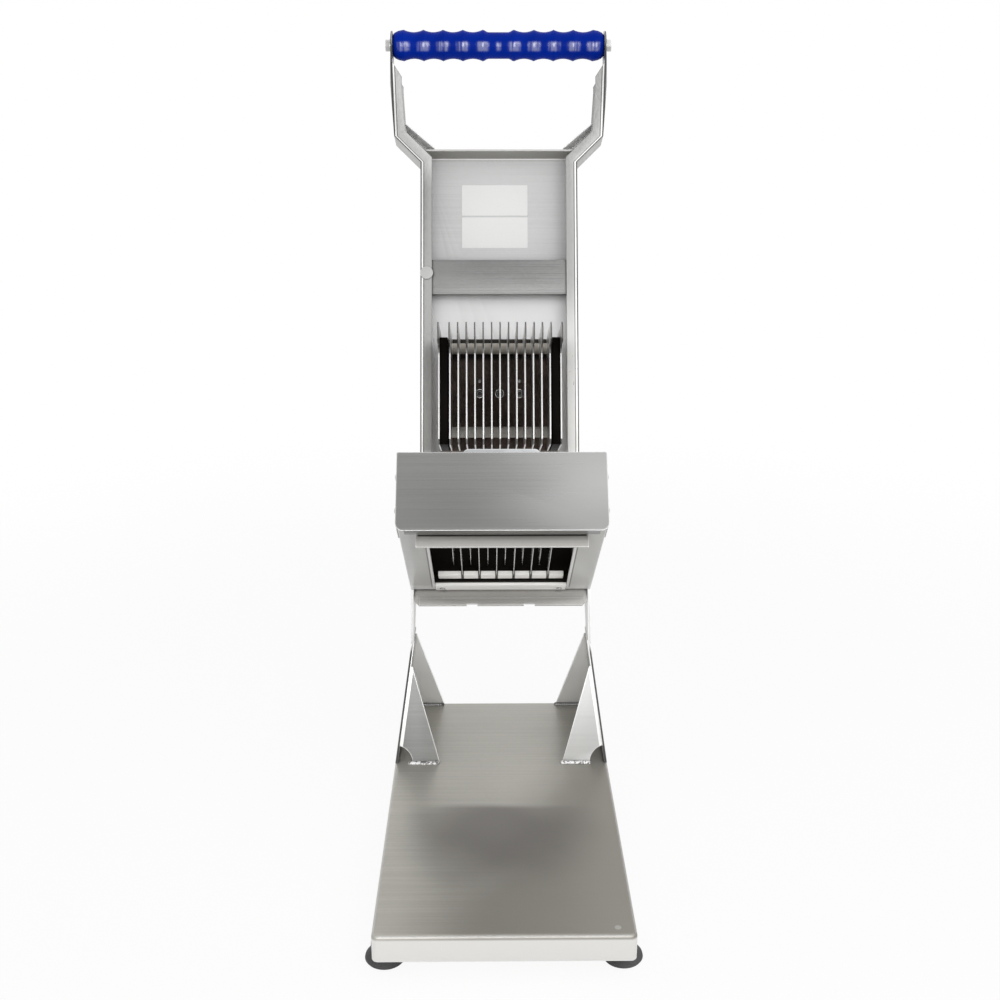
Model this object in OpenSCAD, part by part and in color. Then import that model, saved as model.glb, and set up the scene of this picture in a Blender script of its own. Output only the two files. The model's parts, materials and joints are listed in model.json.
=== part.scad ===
// Manual vegetable slicer. A tall lever swings a rack of thin pusher fins down
// through a row of fixed blades, and the slices drop onto a pan on the base.
// Front is -Y, right is +X, and the part stands on Z = 0 with the lever open.

/* [Base] */
// Width of the base plate
base_w = 240; // [230:1:270]
// Depth of the base plate, front to back
base_d = 452; // [420:1:520]
// Height of the base plate's folded skirt
skirt_h = 27; // [18:1:40]
// Sheet thickness of the base plate
base_t = 2; // [1.5:0.5:3]
// Width of the lip folded in under the skirt
base_lip = 34; // [30:1:50]
// Outside corner radius of the base plate
base_corner_r = 6; // [3:1:10]
// Height of a rubber foot
foot_h = 18; // [14:1:35]
// Radius of a rubber foot where it stands
foot_r = 19; // [16:0.5:22]
// Distance from the side of the base plate to the middle of a foot
foot_side_set = 10; // [9:0.5:16]
// Distance from the side of the base plate to the middle of a rear foot
rear_foot_side_set = 24; // [20:0.5:28]
// Distance from the end of the base plate to the middle of a foot
foot_end_set = 30; // [16:1:32]
// Radius of a foot screw
foot_screw_r = 2.5; // [2:0.25:3]

/* [Side frames] */
// Outside width over the two side frames
frame_w = 204; // [202:1:212]
// Sheet thickness of a side frame
frame_t = 3; // [2:0.5:4]
// Depth of a leg where it stands on the base plate
leg_foot_d = 146; // [120:1:170]
// Depth of a side frame at the bend above the leg
leg_top_d = 39; // [30:1:50]
// Distance from the front of a leg's foot to the middle of the post above it
post_set = 68; // [55:1:80]
// Distance from the back of the base plate to the legs
leg_back_gap = 2; // [1:1:20]
// Height of the splayed legs above the base plate
leg_h = 125; // [100:1:150]
// Width of a leg's folded flanges at the foot
flange_w = 51; // [35:1:60]
// Length of leg above the point of a front flange
flange_start = 26; // [10:1:40]
// Length of leg above the point of a rear flange
rear_flange_start = 6; // [6:1:30]
// Radius of the corner notch at the foot of a front flange
notch_r = 20; // [8:1:22]
// Height of the post between the leg's bend and the chute
post_h = 59; // [45:1:90]

/* [Chute] */
// Slope of the chute's floor
tilt = 38; // [34:0.5:42]
// Length of the chute's side walls
chute_len = 220; // [218:1:240]
// Half width of the window that the slices fall through
window_half = 74; // [73:0.5:76]
// Distance from the back of the chute to the front edge of the window
window_front = 180; // [178:0.5:182]
// Sheet thickness of the covers and cross bars
sheet_t = 2; // [1.5:0.5:2.5]
// Height of the front cover
cover_h = 77; // [70:1:80]
// How far the front cover hangs below the chute's floor
cover_drop = 5; // [3:0.5:8]
// Length of the front cover's side flanges
cover_wrap = 44; // [30:1:60]
// Radius of the front cover's lower corners
cover_corner_r = 8; // [4:1:12]
// Drop of the ledge that hangs behind the front cover
ledge_drop = 15.5; // [10:0.5:18]
// Half width of that ledge
ledge_half = 85; // [78:0.5:95]
// Height of the plate that closes the back of the chute
back_stop_h = 58; // [40:1:60]
// Drop of the rear cross bar's hanging flange
rear_drop = 18.5; // [12:0.5:25]
// Half width of the pull tab at the front of the blade cartridge
tab_half = 39; // [25:0.5:60]
// Height of the pull tab's top above the chute's floor
tab_h = 87.5; // [60:0.5:90]

/* [Pivot] */
// Distance of the pivot behind the back end of the chute's floor
pivot_back = 52; // [48:1:56]
// Height of the pivot above the chute's floor
pivot_up = 99; // [99:1:104]
// Radius of the pivot shaft
shaft_r = 7; // [6:0.5:8]
// Radius of the rounded ear that carries the shaft
ear_r = 24; // [20:1:28]
// Radius of the rod that stops the open lever
stop_r = 5; // [4:0.5:6]

/* [Lever] */
// Backward lean of the open lever
lean = 21.5; // [15:0.5:24]
// Outside width of the lever's frame
lever_w = 190; // [186:1:191]
// Sheet thickness of the lever
lever_t = 2; // [1.5:0.5:2.5]
// Depth of the lever's side channels
lever_d = 34; // [30:1:34]
// Width of the channels' folded lips
lip_w = 14; // [10:0.5:16]
// Outside width over the arms at the grip
arm_w = 264; // [256:1:280]
// Outside width over the arms where they turn upward
arm_low_w = 254; // [240:1:256]
// Distance from the pivot to the bend where the arms spread
bend_z = 436; // [400:1:480]
// Length of the sloping part of the arms
arm_rise = 32; // [24:1:45]
// Distance from the pivot to the grip
grip_z = 588; // [570:1:640]
// Length of the lever's tail below the pivot
tail_len = 45; // [42:1:55]
// Distance from the pivot to the bottom of the cross bar
bar_z = 274; // [260:1:300]
// Height of the cross bar
bar_h = 42; // [30:1:50]

/* [Grip] */
// Radius of the grip at the top of a ridge
grip_r = 18.5; // [16:0.5:19]
// Depth of a finger groove
groove_depth = 3; // [1:0.5:4]
// Width of a finger groove
groove_w = 24.2; // [20:0.2:26]
// Number of finger grooves on each half
grooves = 4; // [2:1:4]
// Length of the smooth middle of the grip
grip_middle = 39; // [30:1:50]
// Radius of the steel rod inside the grip
grip_rod_r = 7; // [6:0.5:8]

/* [Slicing set] */
// Distance between blades, which is the thickness of a slice
pitch = 9.525; // [9:0.025:9.6]
// Number of blades, in two staggered rows
blades = 12; // [8:2:12]
// Thickness of a blade
blade_t = 0.8; // [0.5:0.1:1]
// Height of a blade
blade_h = 10; // [7:0.5:11]
// Number of scallops along a blade's edge
scallops = 15; // [8:1:20]
// Thickness of a pusher fin
fin_t = 1.5; // [1:0.1:2]
// How far the fins stand out in front of the lever
fin_reach = 74; // [70:0.5:75]
// Distance from the pivot to the lower end of the fins
fin_low = 84; // [80:1:88]
// Length of the fins
fin_len = 135; // [125:1:136]
// Height of the lobe at the top of a fin
lobe_h = 23; // [16:1:28]
// How far the lobe stands out past the rest of the fin
lobe_reach = 30; // [20:1:31]
// Radius of the tie rods through the fins
tie_r = 3; // [2.5:0.25:4]
// Radius of the spacers between the fins
spacer_r = 6.5; // [5.5:0.25:7.5]

/* [Clearances] */
// Gap around pieces that are laid in or screwed down
fit_gap = 0.3; // [0.2:0.05:0.5]
// Running gap around the pivot shaft
run_gap = 0.05; // [0.02:0.01:0.1]
// Gap around a screw or pin in its hole
hole_gap = 0.1; // [0.05:0.05:0.3]

/* [Hidden] */
$fn = 64;

// Heights and places in the side view, from the middle of the base plate
base_top = foot_h + skirt_h;
leg_back_y = base_d / 2 - leg_back_gap;
leg_front_y = leg_back_y - leg_foot_d;
post_y = leg_front_y + post_set;
post_front_y = post_y - leg_top_d / 2;
post_back_y = post_y + leg_top_d / 2;
bend_up_z = base_top + leg_h;
chute_y = post_y;
chute_z = bend_up_z + post_h;
splay = atan2((base_w - frame_w) / 2, leg_h);
bend_lap = 4;
bend_set = 0.4;
cut_size = 2000;

// A point of the chute, by its distance up the slope and its height above the floor
function chute_point(along, above) = [
    chute_y - along * cos(tilt) + above * sin(tilt),
    chute_z + along * sin(tilt) + above * cos(tilt)
];
pivot = chute_point(-pivot_back, pivot_up);
close_angle = lean + 90 - tilt;
function turned(y, z) = [y * cos(lean) + z * sin(lean), z * cos(lean) - y * sin(lean)];

// The box of the open part is centred front to back on Y = 0
lever_back_y = pivot[0] + turned(0, grip_z)[0] + max(grip_r, lever_d / 2);
shift_y = (base_d / 2 - lever_back_y) / 2;

// Chute and blade cartridge
inner_half = frame_w / 2 - frame_t;
cover_half = frame_w / 2 + sheet_t;
wall_h = cover_h - sheet_t;
floor_t = frame_t;
rail_half = inner_half - fit_gap;
rail_inner = 80;
rail_back = 16;
back_bar_len = 14;
front_bar_len = 10;
front_bar_start = window_front + 10;
rail_front = front_bar_start + front_bar_len;
lower_row = 1;
lower_blade_z = 8;
upper_blade_z = lower_blade_z + blade_h + 1;
bar_top = upper_blade_z + blade_h + 2;
bar_low = floor_t + sheet_t;
bar_split = bar_low + 7.5;
back_bar_h = 5;
block_top = bar_top + 9;
blade_slot = blade_t + 2 * hole_gap;
blade_in_bar = 2;
back_stop_at = 8;
back_bar_half = 70;
tab_at = rail_front + 3;
bar_half = inner_half - fit_gap;
edge_half = window_half - fit_gap;
hang_y = 6 - sheet_t;
hem_t = 1.2;
hang_corner = 6;
hang_notch = [32.5, 12, 2];
strip_screw_r = 1.5;

// Pusher
lip_face = -lever_d / 2;
panel_t = 1.5;
panel_back = lever_d / 2 - lever_t;
block_front = lip_face + lever_t;
fin_front = lip_face - fin_reach;
lobe_front = fin_front - lobe_reach;
fin_top = fin_low + fin_len;
fins = blades + 1;
outer_fin = (fins - 1) / 2 * pitch;
end_bar_in = outer_fin + fin_t / 2 + 2;
end_bar_out = end_bar_in + 9;
end_plate_out = end_bar_out + fin_t;
tie_y = block_front - spacer_r - 6;
tie_low_z = fin_low + 21;
tie_high_z = fin_top - 14;
panel_half = lever_w / 2 - lever_t - fit_gap;
panel_low = fin_low - 6;
panel_top = bend_z + arm_rise / 2;
screw_z = fin_low + 69;

// Grip
arm_in = arm_w / 2 - lever_t;
tab_r = lever_d / 2;
lip_low = 45;
lip_chamfer = 22;
lip_high = grip_z - 24;
arm_top_z = lip_high - lip_chamfer - 8;
groove_r = (pow(groove_w / 2, 2) + pow(groove_depth, 2)) / (2 * groove_depth);
grip_half = arm_in - fit_gap;
grip_end_room = grip_half - grip_middle / 2 - grooves * groove_w;
grip_end_slope = min(7, grip_end_room); // the end's slope fits beside the last groove

// Fasteners
bush_r = shaft_r + 2.5;
bush_flange_r = shaft_r + 6;
nut_h = 7;
nut_across = 2 * shaft_r + 6;
cover_screw_r = 2;
cover_screw_head_r = 4;
cover_screw_head = 2.4;
cover_screw_at = chute_len - 14;
cartridge_screw_r = 3;
cartridge_screw_head_r = 6;
cartridge_screw_head = 2;
cartridge_screw_len = 10;
bolt_r = 4;
bolt_head_across = 13;
bolt_head_h = 5.5;
bolt_len = 22;
washer_r = 8;
washer_t = 1.6;
block_screw_r = 2.5;
block_screw_head_r = 5.5;
block_screw_head = 5;
block_screw_sunk = 0.5;
block_screw_step = 2.5 * pitch;
foot_x = base_w / 2 - foot_side_set;
rear_foot_x = base_w / 2 - rear_foot_side_set;
foot_y = base_d / 2 - foot_end_set;
foot_bore_r = foot_screw_r + hole_gap;
foot_sink_r = 2.2 * foot_screw_r + 0.5;
foot_sink = 8;
foot_head_h = 4;

// Sheets: a side sheet is drawn in Y and Z, a front sheet in X and Z
module side_sheet(t) rotate([90, 0, 90]) linear_extrude(t) children();
module front_sheet(t) translate([0, t, 0]) rotate([90, 0, 0]) linear_extrude(t) children();
module both_sides() {
    children();
    mirror([1, 0, 0]) children();
}
module cross_cylinder(r, from, to) translate([from, 0, 0]) rotate([0, 90, 0]) cylinder(r = r, h = to - from);
module hexagon(across, h) cylinder(d = across / cos(30), h = h, $fn = 6);
module on_stand() translate([0, shift_y, 0]) children();
module on_chute() translate([0, shift_y + chute_y, chute_z]) rotate([-tilt, 0, 0]) children();
module on_lever() translate([0, shift_y + pivot[0], pivot[1]]) rotate([-lean, 0, 0]) children();
module rounded_square(w, d, r) {
    square([w - 2 * r, d], center = true);
    square([w, d - 2 * r], center = true);
    for (x = [-1, 1], y = [-1, 1]) translate([x * (w / 2 - r), y * (d / 2 - r)]) circle(r);
}

// Base plate, a folded tray with its open side down
module foot_places() for (side = [-1, 1]) {
    translate([side * foot_x, -foot_y, 0]) children();
    translate([side * rear_foot_x, foot_y, 0]) children();
}
module base_plate() color("silver") on_stand() difference() {
    translate([0, 0, foot_h]) linear_extrude(skirt_h) rounded_square(base_w, base_d, base_corner_r);
    translate([0, 0, foot_h + base_t]) linear_extrude(skirt_h - 2 * base_t)
        rounded_square(base_w - 2 * base_t, base_d - 2 * base_t, base_corner_r - base_t / 2);
    translate([0, 0, foot_h - 1]) linear_extrude(base_t + 2)
        square([base_w - 2 * base_lip, base_d - 2 * base_lip], center = true);
    foot_places() translate([0, 0, foot_h - 1]) cylinder(r = foot_bore_r, h = base_t + 2);
}
module rubber_feet() color("#262628") on_stand() foot_places() difference() {
    rotate_extrude() polygon([
        [0, 0], [foot_r - 1, 0], [foot_r, 1.5], [foot_r - 0.6, 4],
        [foot_r * 0.72, foot_h * 0.55], [foot_r * 0.68, foot_h], [0, foot_h]
    ]);
    translate([0, 0, -1]) cylinder(r = foot_sink_r, h = foot_sink + 1);
    cylinder(r = foot_bore_r, h = foot_h + 1);
}
module foot_screws() color("gainsboro") on_stand() foot_places() {
    translate([0, 0, foot_sink - foot_head_h]) cylinder(r = foot_sink_r - 0.5, h = foot_head_h);
    translate([0, 0, foot_sink - 1]) cylinder(r = foot_screw_r, h = foot_h - foot_sink + base_t + 8);
    translate([0, 0, foot_h + base_t]) hexagon(3.2 * foot_screw_r, 4);
}

// Side frames: chute wall, pivot ear, post and splayed leg folded from one sheet
module wall_outline() {
    polygon([
        chute_point(chute_len, 0), chute_point(chute_len, wall_h), chute_point(12, wall_h),
        pivot + [0, 0.8 * ear_r], pivot + 0.8 * ear_r * [cos(40), -sin(40)],
        [post_back_y, bend_up_z + 2 * bend_lap], [post_back_y, bend_up_z],
        [post_front_y, bend_up_z], [post_front_y, bend_up_z + 2 * bend_lap], chute_point(0, 0)
    ]);
    translate(pivot) circle(ear_r);
}
module wall_plate() translate([frame_w / 2 - frame_t, 0, 0]) side_sheet(frame_t) difference() {
    wall_outline();
    translate(pivot) circle(shaft_r + run_gap);
    translate(stop_place()) circle(stop_r + run_gap);
    for (above = cover_screw_heights()) translate(chute_point(cover_screw_at, above)) circle(cover_screw_r + hole_gap);
    for (along = cartridge_screw_places())
        translate(chute_point(along, bar_top / 2)) circle(cartridge_screw_r + hole_gap);
}
module leg_plate() translate([frame_w / 2 - bend_set, 0, bend_up_z]) rotate([0, -splay, 0])
    translate([-frame_t, 0, 0]) side_sheet(frame_t) polygon([
        [post_front_y + bend_set, bend_lap], [post_back_y - bend_set, bend_lap],
        [leg_back_y + leg_run(back_run), -leg_slant() - bend_lap],
        [leg_front_y - leg_run(front_run), -leg_slant() - bend_lap]
    ]);
function leg_slant() = leg_h / cos(splay);
function leg_run(run) = bend_lap * run / leg_slant();
front_run = post_front_y - leg_front_y;
back_run = leg_back_y - post_back_y;
function leg_rake(run) = atan2(run, leg_h);
function edge_len(run) = leg_h / cos(leg_rake(run));
function edge_x(down, full) = frame_w / 2 + (base_w - frame_w) / 2 * down / full;
module flange_outline(start, full) polygon([
    [edge_x(start, full) - frame_t / 2, -start],
    [edge_x(full + frame_t, full) - frame_t / 2, -full - frame_t],
    [edge_x(full, full) - flange_w, -full - frame_t],
    [edge_x(full, full) - flange_w, -full],
    [edge_x(start, full) - frame_t - 2, -start]
]);
module front_flange() translate([0, post_front_y + bend_set, bend_up_z]) rotate([-leg_rake(front_run), 0, 0])
    front_sheet(frame_t) difference() {
        flange_outline(flange_start, edge_len(front_run));
        translate([base_w / 2, -edge_len(front_run)]) circle(notch_r);
    }
module rear_flange() translate([0, post_back_y - bend_set, bend_up_z]) rotate([leg_rake(back_run), 0, 0])
    translate([0, -frame_t, 0]) front_sheet(frame_t) flange_outline(rear_flange_start, edge_len(back_run));
module side_frame() on_stand() {
    wall_plate();
    translate([0, chute_y, chute_z]) rotate([-tilt, 0, 0])
        translate([window_half, -chute_len, 0]) cube([frame_w / 2 - window_half, chute_len, floor_t]);
    difference() {
        union() {
            leg_plate();
            front_flange();
            rear_flange();
        }
        translate([-cut_size / 2, -cut_size / 2, base_top - cut_size]) cube(cut_size);
    }
}
module side_frame_right() color("silver") side_frame();
module side_frame_left() color("silver") mirror([1, 0, 0]) side_frame();

// Front cover, folded round the front end of the chute
function cover_screw_heights() = [0.28 * wall_h, 0.75 * wall_h];
module cover_face() {
    translate([-cover_half, cover_corner_r - cover_drop])
        square([2 * cover_half, cover_h + cover_drop - cover_corner_r]);
    translate([cover_corner_r - cover_half, -cover_drop])
        square([2 * (cover_half - cover_corner_r), cover_corner_r + 1]);
    for (x = [-1, 1])
        translate([x * (cover_half - cover_corner_r), cover_corner_r - cover_drop]) circle(cover_corner_r);
}
module front_cover() color("silver") on_chute() {
    translate([0, -chute_len - sheet_t, 0]) front_sheet(sheet_t) cover_face();
    difference() {
        for (x = [-cover_half, frame_w / 2]) translate([x, -chute_len - 1, cover_corner_r - cover_drop])
            cube([sheet_t, cover_wrap + 1, wall_h + cover_drop - cover_corner_r]);
        cover_screw_places() cross_cylinder(cover_screw_r + hole_gap, -cover_half - 1, cover_half + 1);
    }
    translate([-cover_half, -chute_len - 1, cover_h - sheet_t]) cube([2 * cover_half, 11, sheet_t]);
    translate([cover_corner_r - cover_half, -chute_len - 1, -cover_drop])
        cube([2 * (cover_half - cover_corner_r), 11, sheet_t]);
}
module cover_screw_places() for (above = cover_screw_heights()) translate([0, -cover_screw_at, above]) children();
module cover_screws() color("gainsboro") on_chute() cover_screw_places() both_sides() {
    cross_cylinder(cover_screw_r, inner_half - 3, cover_half + 1);
    translate([cover_half, 0, 0]) rotate([0, 90, 0]) intersection() {
        cylinder(r = cover_screw_head_r, h = cover_screw_head);
        translate([0, 0, cover_screw_head - 1.6 * cover_screw_head_r]) sphere(1.6 * cover_screw_head_r);
    }
}

// Cross bars that tie the side frames and edge the window
module front_cross_bar() color("silver") on_chute() {
    translate([-bar_half, -chute_len, floor_t]) cube([2 * bar_half, chute_len - rail_front - fit_gap, sheet_t]);
    translate([-rail_inner + fit_gap, -rail_front - 1, floor_t])
        cube([2 * (rail_inner - fit_gap), rail_front + 1 - window_front, sheet_t]);
    translate([0, -rail_front - sheet_t, 0]) front_sheet(sheet_t) {
        translate([-ledge_half, -ledge_drop]) square([2 * ledge_half, ledge_drop - fit_gap]);
        translate([-edge_half, -1]) square([2 * edge_half, floor_t + 2]);
    }
}
module hanging_face() difference() {
    polygon([
        [-bar_half, floor_t + 1], [-bar_half, hang_corner - rear_drop], [hang_corner - bar_half, -rear_drop],
        [bar_half - hang_corner, -rear_drop], [bar_half, hang_corner - rear_drop], [bar_half, floor_t + 1]
    ]);
    for (side = [-1, 1]) translate([side * hang_notch[0] - hang_notch[1] / 2, -rear_drop - 1])
        square([hang_notch[1], hang_notch[2] + 1]);
}
module strip_screw_places() for (side = [-1, 1]) translate([side * (window_half - 8), -3, 0]) children();
module rear_cross_bar() color("silver") on_chute() difference() {
    union() {
        translate([-bar_half, 0, 0]) side_sheet(2 * bar_half) {
            translate([-rail_back + fit_gap, floor_t]) square([rail_back + 6, sheet_t]);
            translate([-back_stop_at - sheet_t, floor_t]) square([sheet_t, back_stop_h]);
        }
        translate([0, hang_y, 0]) front_sheet(sheet_t) hanging_face();
        translate([0, hang_y - hem_t, 0]) front_sheet(hem_t + 0.5) intersection() {
            hanging_face();
            translate([hang_corner - bar_half, -rear_drop - 1]) square([2 * (bar_half - hang_corner), rear_drop / 2 + 1]);
        }
    }
    strip_screw_places() cylinder(r = strip_screw_r + hole_gap, h = 2 * floor_t + sheet_t);
}
module window_strip() color("gainsboro") on_chute() difference() {
    translate([-edge_half, -rail_back + fit_gap, 0]) cube([2 * edge_half, rail_back + hang_y - 2 * fit_gap, floor_t]);
    strip_screw_places() translate([0, 0, -1]) cylinder(r = strip_screw_r + hole_gap, h = floor_t + 2);
}
module strip_screws() color("gainsboro") on_chute() strip_screw_places() {
    translate([0, 0, -1]) cylinder(r = strip_screw_r, h = floor_t + sheet_t + 3);
    translate([0, 0, -1.4]) cylinder(r = 2 * strip_screw_r, h = 1.4);
}

// Blade cartridge: two rails, two slotted bars and two staggered rows of blades
function blade_x(i) = (i - (blades - 1) / 2) * pitch;
function cartridge_screw_places() = [rail_back + 30, rail_front - 40];
module cartridge_rails() color("#1c1a19") on_chute() both_sides() difference() {
    translate([rail_inner, -rail_front, floor_t])
        cube([rail_half - rail_inner, rail_front - rail_back, bar_top - floor_t]);
    for (along = cartridge_screw_places()) translate([0, -along, bar_top / 2])
        cross_cylinder(cartridge_screw_r + hole_gap, rail_half - cartridge_screw_len - 1, rail_half + 1);
}
module slotted_bar(from, len, half, slot_from, low, top) difference() {
    translate([-half, -from - len, low]) cube([2 * half, len, top - low]);
    for (i = [0 : blades - 1]) {
        slot_low = i % 2 == lower_row ? bar_low - 1 : upper_blade_z - hole_gap;
        slot_top = i % 2 == lower_row ? lower_blade_z + blade_h + hole_gap : block_top + 1;
        translate([blade_x(i) - blade_slot / 2, -slot_from - blade_in_bar - len, slot_low])
            cube([blade_slot, len, slot_top - slot_low]);
    }
}
module cartridge_back_bar() color("whitesmoke") on_chute()
    slotted_bar(rail_back, back_bar_len, back_bar_half, rail_back, bar_split - back_bar_h, bar_split);
module cartridge_back_block() color("#1c1a19") on_chute()
    slotted_bar(rail_back, back_bar_len, rail_inner, rail_back, bar_split, block_top);
module cartridge_front_bar() color("whitesmoke") on_chute()
    slotted_bar(front_bar_start, front_bar_len, rail_inner, front_bar_start - 2 * blade_in_bar, bar_low, bar_top);
module cartridge_pull_tab() color("gainsboro") on_chute() {
    translate([0, -tab_at - sheet_t, 0]) front_sheet(sheet_t) {
        translate([-tab_half, bar_low]) square([2 * tab_half, tab_h - bar_low - 6]);
        translate([6 - tab_half, bar_low]) square([2 * tab_half - 12, tab_h - bar_low]);
        for (side = [-1, 1]) translate([side * (tab_half - 6), tab_h - 6]) circle(6);
    }
    translate([-tab_half, -tab_at - 1, bar_low]) cube([2 * tab_half, tab_at - rail_front + 1, sheet_t]);
}
module blade() side_sheet(blade_t) difference() {
    translate([-rail_front + blade_in_bar, 0]) square([rail_front - rail_back - 2 * blade_in_bar, blade_h]);
    step = (front_bar_start - rail_back - back_bar_len) / scallops;
    scallop_r = step * 0.8;
    for (i = [0 : scallops - 1])
        translate([-rail_back - back_bar_len - step * (i + 0.5), blade_h + sqrt(pow(scallop_r, 2) - pow(step / 2, 2))])
            circle(scallop_r);
}
module blade_row(first, z) on_chute() for (i = [first : 2 : blades - 1])
    translate([blade_x(i) - blade_t / 2, 0, z]) blade();
module lower_blades() color("lightgray") blade_row(lower_row, lower_blade_z);
module upper_blades() color("lightgray") blade_row(1 - lower_row, upper_blade_z);
module cartridge_screws() color("gainsboro") on_chute() both_sides()
    for (along = cartridge_screw_places()) translate([0, -along, bar_top / 2]) {
        cross_cylinder(cartridge_screw_r, rail_half - cartridge_screw_len, frame_w / 2 + 1);
        cross_cylinder(cartridge_screw_head_r, frame_w / 2, frame_w / 2 + cartridge_screw_head);
    }

// Pivot shaft across the side frames, and the rod that the open lever's tail leans on
function stop_local() = [lip_face - stop_r - fit_gap, -tail_len + lever_d / 2 + 2];
function stop_place() = pivot + turned(stop_local()[0], stop_local()[1]);
module stop_rod() color("gainsboro") on_lever() translate([0, stop_local()[0], stop_local()[1]])
    cross_cylinder(stop_r, -frame_w / 2 - 1, frame_w / 2 + 1);
module pivot_shaft() color("gainsboro") on_lever()
    cross_cylinder(shaft_r, -frame_w / 2 - nut_h + 1, frame_w / 2 + nut_h - 1);
module pivot_nuts() color("gainsboro") on_lever() both_sides() translate([frame_w / 2, 0, 0]) rotate([0, 90, 0])
    difference() {
        hexagon(nut_across, nut_h);
        translate([0, 0, -1]) cylinder(r = shaft_r + hole_gap, h = nut_h + 2);
    }

// Lever arms: side channels that spread to the grip, drawn as strips along one path
function arm_path(low, high) = [
    [lever_w / 2, low], [lever_w / 2, bend_z], [arm_low_w / 2, bend_z + arm_rise],
    [arm_w / 2, arm_top_z], [arm_w / 2, high]
];
function inward(path, i) = let (run = path[i + 1] - path[i]) [-run[1], run[0]] / norm(run);
function shifted(path, i, inset) = let (
    last = len(path) - 1, before = inward(path, max(i - 1, 0)), after = inward(path, min(i, last - 1))
) path[i] + inset * (before + after) / (1 + before * after);
function inset_path(path, inset) = [for (i = [0 : len(path) - 1]) shifted(path, i, inset)];
function back_again(path) = [for (i = [len(path) - 1 : -1 : 0]) path[i]];
module strip(outer, inner, inset) polygon(concat(outer, back_again(inset_path(inner, inset))));
module arm_wall() intersection() {
    translate([0, lip_face, 0]) front_sheet(lever_d)
        strip(arm_path(-tail_len, grip_z + tab_r), arm_path(-tail_len, grip_z + tab_r), lever_t);
    side_sheet(arm_w) {
        translate([lip_face, tab_r - tail_len]) square([lever_d, grip_z + tail_len - tab_r]);
        for (z = [tab_r - tail_len, grip_z]) translate([0, z]) circle(tab_r);
    }
}
module arm_lip() front_sheet(lever_t)
    strip(arm_path(lip_low, lip_high), arm_path(lip_low + lip_chamfer, lip_high - lip_chamfer), lip_w);
module lever_arm() on_lever() difference() {
    union() {
        arm_wall();
        translate([0, lip_face, 0]) arm_lip();
        translate([0, panel_back, 0]) arm_lip();
    }
    cross_cylinder(bush_r + hole_gap, 0, lever_w);
    translate([0, 0, grip_z]) cross_cylinder(bolt_r + hole_gap, 0, arm_w);
}
module lever_arm_right() color("silver") lever_arm();
module lever_arm_left() color("silver") mirror([1, 0, 0]) lever_arm();
module pivot_bushes() color("whitesmoke") on_lever() both_sides() difference() {
    union() {
        cross_cylinder(bush_r, lever_w / 2 - lever_t - 3, lever_w / 2 + 1);
        cross_cylinder(bush_flange_r, lever_w / 2, inner_half - fit_gap);
    }
    cross_cylinder(shaft_r + run_gap, 0, frame_w);
}

// Back panel with its folded top, and the cross bar in front of it
module lever_panel() color("gainsboro") on_lever() {
    difference() {
        translate([-panel_half, panel_back - panel_t, panel_low]) cube([2 * panel_half, panel_t, panel_top - panel_low]);
        block_screw_places() rotate([-90, 0, 0]) cylinder(r = block_screw_r + hole_gap, h = lever_d);
    }
    translate([-panel_half, block_front, panel_top - lever_t]) cube([2 * panel_half, panel_back - block_front, lever_t]);
}
module lever_cross_bar() color("silver") on_lever() {
    translate([-panel_half, block_front, bar_z]) cube([2 * panel_half, panel_t, bar_h]);
    for (z = [bar_z, bar_z + bar_h - panel_t]) translate([-panel_half, block_front, z]) cube([2 * panel_half, 10, panel_t]);
}

// Pusher: a block on the panel carries thin fins on two tie rods
module block_screw_places() for (i = [-1 : 1]) translate([i * block_screw_step, 0, screw_z]) children();
module tie_places() for (z = [tie_low_z, tie_high_z]) translate([0, tie_y, z]) children();
module pusher_block() color("#1c1a19") on_lever() difference() {
    translate([-end_plate_out, block_front, fin_low])
        cube([2 * end_plate_out, panel_back - panel_t - block_front, fin_len]);
    block_screw_places() {
        translate([0, block_front, 0]) rotate([-90, 0, 0]) cylinder(r = block_screw_r + hole_gap, h = lever_d);
        translate([0, block_front - 1, 0]) rotate([-90, 0, 0])
            cylinder(r = block_screw_head_r + hole_gap, h = block_screw_head + block_screw_sunk + 1);
    }
}
module pusher_screws() color("gainsboro") on_lever() block_screw_places() {
    difference() {
        translate([0, block_front + block_screw_sunk, 0]) rotate([-90, 0, 0])
            cylinder(r = block_screw_head_r, h = block_screw_head);
        translate([0, block_front + block_screw_sunk - 1, 0]) rotate([-90, 0, 0]) hexagon(5, 3.5);
    }
    translate([0, block_front + block_screw_head, 0]) rotate([-90, 0, 0])
        cylinder(r = block_screw_r, h = lever_d - lever_t - block_screw_head + 2);
    translate([0, panel_back, 0]) rotate([-90, 0, 0]) hexagon(3.2 * block_screw_r, lever_t);
}
module fin_outline() difference() {
    polygon([
        [block_front, fin_low], [block_front, fin_top], [lobe_front + 6, fin_top], [lobe_front, fin_top - 6],
        [lobe_front, fin_top - lobe_h + 3], [lobe_front + 3, fin_top - lobe_h], [fin_front - 8, fin_top - lobe_h],
        [fin_front, fin_top - lobe_h - 8], [fin_front, fin_low + 6], [fin_front + 6, fin_low]
    ]);
    for (z = [tie_low_z, tie_high_z]) translate([tie_y, z]) circle(tie_r + hole_gap);
}
module pusher_fins() color("gainsboro") on_lever() for (i = [0 : fins - 1])
    translate([i * pitch - outer_fin - fin_t / 2, 0, 0]) side_sheet(fin_t) fin_outline();
module pusher_end_plates() color("gainsboro") on_lever() both_sides()
    translate([end_bar_out, 0, 0]) side_sheet(fin_t) fin_outline();
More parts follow.
